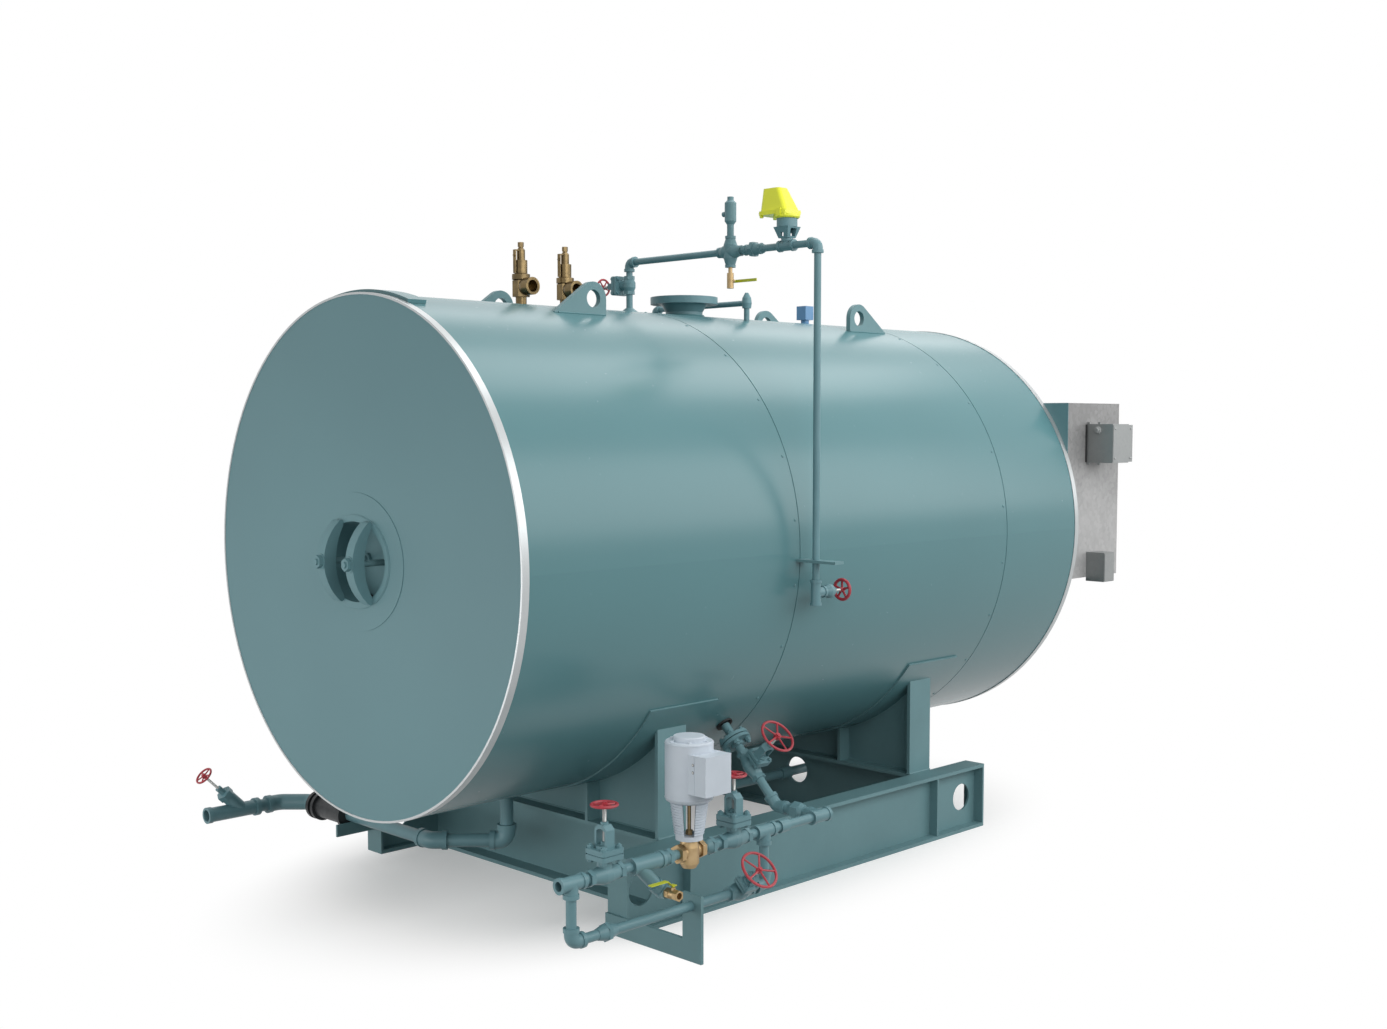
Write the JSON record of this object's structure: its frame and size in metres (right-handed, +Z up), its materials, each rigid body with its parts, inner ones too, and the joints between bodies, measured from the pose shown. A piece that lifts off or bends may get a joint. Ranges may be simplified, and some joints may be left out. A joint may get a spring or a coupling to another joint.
{
  "type": "industrial boiler",
  "caption": "Horizontal jacketed boiler vessel on a steel skid with feed-water train, safety valves, level piping, blowdown line and rear element enclosure.",
  "frame": {"origin": "on the ground under the vessel's centreline, at the middle of the front saddle", "axes": "+Y along the vessel to its rear, +X to the feed-train side, +Z up"},
  "size_m": [2.0044, 3.08, 2.14],
  "materials": {
    "vessel_paint": "satin teal paint",
    "head_paint": "satin teal paint on the flat heads",
    "skid_paint": "satin teal paint on structural steel",
    "pipe_paint": "satin teal paint on pipe",
    "trim_metal": "bright galvanised sheet",
    "brass": "cast brass",
    "yellow_paint": "gloss yellow paint",
    "blue_plastic": "moulded blue plastic",
    "galvanised": "galvanised sheet",
    "box_grey": "light grey powder coat",
    "actuator_grey": "cast aluminium, light grey coat",
    "black_iron": "black cast iron",
    "red_paint": "red enamel",
    "lever_plastic": "yellow dipped plastic"
  },
  "bodies": {
    "boiler": {"vessel_jacket": "vessel_paint", "rim_flashing": "vessel_paint", "front_head": "head_paint", "rear_head": "head_paint", "manway_ring": "head_paint", "manway_cover": "head_paint", "manway_yokes": "head_paint", "rim_trims": "trim_metal", "lifting_lugs": "skid_paint", "skid_beams": "skid_paint", "cross_beams": "skid_paint", "saddles": "skid_paint", "train_bracket": "skid_paint", "pipe_supports": "skid_paint", "steam_nozzle": "pipe_paint", "isolating_valve": "pipe_paint", "crossover_pipe": "pipe_paint", "drop_pipe": "pipe_paint", "low_header": "pipe_paint", "feed_inlet": "pipe_paint", "feed_valves": "pipe_paint", "strainer": "pipe_paint", "control_union": "pipe_paint", "feed_tail": "pipe_paint", "bypass_pipe": "pipe_paint", "bypass_valve": "pipe_paint", "riser_valve": "pipe_paint", "riser_pipe_high": "pipe_paint", "blowdown_pipe": "pipe_paint", "blowdown_valve": "pipe_paint", "drain_line": "pipe_paint", "level_neck": "pipe_paint", "vent_valve": "pipe_paint", "safety_valves": "brass", "ball_valves": "brass", "control_valve": "brass", "level_cover": "yellow_paint", "black_valve": "black_iron", "side_boxes": "box_grey", "pressure_switch": "blue_plastic", "element_enclosure": "galvanised", "actuator_yoke": "actuator_grey", "actuator_housing": "actuator_grey"},
    "feed_wheel_inlet_body": {"feed_wheel_inlet": "red_paint"},
    "feed_wheel_outlet_body": {"feed_wheel_outlet": "red_paint"},
    "bypass_wheel_body": {"bypass_wheel": "red_paint"},
    "riser_wheel_body": {"riser_wheel": "red_paint"},
    "blowdown_wheel_body": {"blowdown_wheel": "red_paint"},
    "isolating_wheel_body": {"isolating_wheel": "red_paint"},
    "side_wheel_body": {"side_wheel": "red_paint"},
    "drain_lever_body": {"drain_lever": "lever_plastic"},
    "blow_lever_body": {"blow_lever": "lever_plastic"}
  },
  "joints": [
    {"name": "feed_wheel_inlet_turn", "type": "hinge", "parent": "boiler", "child": "feed_wheel_inlet_body", "pos_m": [0.91, -0.578, 0.482], "axis": [0, 0, 1], "range_deg": [0, 1800]},
    {"name": "feed_wheel_outlet_turn", "type": "hinge", "parent": "boiler", "child": "feed_wheel_outlet_body", "pos_m": [0.91, -0.104, 0.482], "axis": [0, 0, 1], "range_deg": [0, 1800]},
    {"name": "bypass_wheel_turn", "type": "hinge", "parent": "boiler", "child": "bypass_wheel_body", "pos_m": [0.98425, -0.08, 0.22725], "axis": [0.7071, 0, 0.7071], "range_deg": [0, 1800]},
    {"name": "riser_wheel_turn", "type": "hinge", "parent": "boiler", "child": "riser_wheel_body", "pos_m": [0.74641, 0.258, 0.51372], "axis": [0.7071, 0, 0.7071], "range_deg": [0, 1800]},
    {"name": "blowdown_wheel_turn", "type": "hinge", "parent": "boiler", "child": "blowdown_wheel_body", "pos_m": [-0.946, -0.69576, 0.27576], "axis": [0, -0.7071, 0.7071], "range_deg": [0, 1800]},
    {"name": "isolating_wheel_turn", "type": "hinge", "parent": "boiler", "child": "isolating_wheel_body", "pos_m": [-0.128, 0.355, 1.894], "axis": [-1, 0, 0], "range_deg": [0, 1800]},
    {"name": "side_wheel_turn", "type": "hinge", "parent": "boiler", "child": "side_wheel_body", "pos_m": [0.81, 0.477, 0.94], "axis": [0, 1, 0], "range_deg": [0, 1800]},
    {"name": "drain_lever_turn", "type": "hinge", "parent": "boiler", "child": "drain_lever_body", "pos_m": [0.458, 0.378, 1.8765], "axis": [0, 1, 0], "range_deg": [0, 90]},
    {"name": "blow_lever_turn", "type": "hinge", "parent": "boiler", "child": "blow_lever_body", "pos_m": [0.9552, -0.38, 0.242], "axis": [0, 0, 1], "range_deg": [0, 90]}
  ]
}
